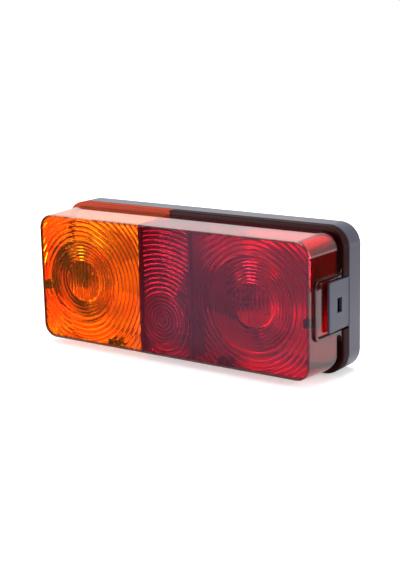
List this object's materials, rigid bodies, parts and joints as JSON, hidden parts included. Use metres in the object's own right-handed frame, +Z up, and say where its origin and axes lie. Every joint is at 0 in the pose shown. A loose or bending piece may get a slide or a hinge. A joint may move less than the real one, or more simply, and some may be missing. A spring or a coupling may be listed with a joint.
{
  "type": "tail light cluster",
  "caption": "Rectangular rear lamp with amber indicator and red tail and stop lenses clipped over a black base, ring optics inside the lens face and rear fixing studs.",
  "frame": {"origin": "middle of the mounting face at the back of the base, half-way between the two fixing studs", "axes": "+X to the lamp's right as seen from the front, +Z up, +Y out of the back towards the vehicle; the lens faces -Y"},
  "size_m": [0.239, 0.0824, 0.101],
  "materials": {
    "base_black": "satin black moulding",
    "amber": "clear amber, polished outside",
    "red": "clear red, polished outside",
    "seal": "soft foam rubber",
    "silvered": "metallised moulding",
    "bulb_glass": "clear blown glass",
    "cap_metal": "nickel-plated brass",
    "zinc_steel": "zinc-plated steel",
    "laminate": "brown laminate",
    "contact_brass": "bare brass",
    "rivet_metal": "bare aluminium",
    "grommet_rubber": "soft rubber"
  },
  "bodies": {
    "root": {"base_housing": "base_black", "lens_amber": "amber", "lens_red": "red", "lens_gasket": "seal", "reflector": "silvered", "bulb_indicator": "bulb_glass", "bulb_tail": "bulb_glass", "bulb_stop": "bulb_glass", "bulb_cap_indicator": "cap_metal", "bulb_cap_tail": "cap_metal", "bulb_cap_stop": "cap_metal", "bulb_holder_indicator": "zinc_steel", "bulb_holder_tail": "zinc_steel", "bulb_holder_stop": "zinc_steel", "contact_plate_indicator": "laminate", "contact_plate_tail": "laminate", "contact_plate_stop": "laminate", "contact_indicator": "contact_brass", "contact_tail": "contact_brass", "contact_stop": "contact_brass", "contact_rivets": "rivet_metal", "holder_rivets": "rivet_metal", "earth_strip": "contact_brass", "cable_grommet": "grommet_rubber", "fixing_studs": "zinc_steel"}
  },
  "joints": []
}
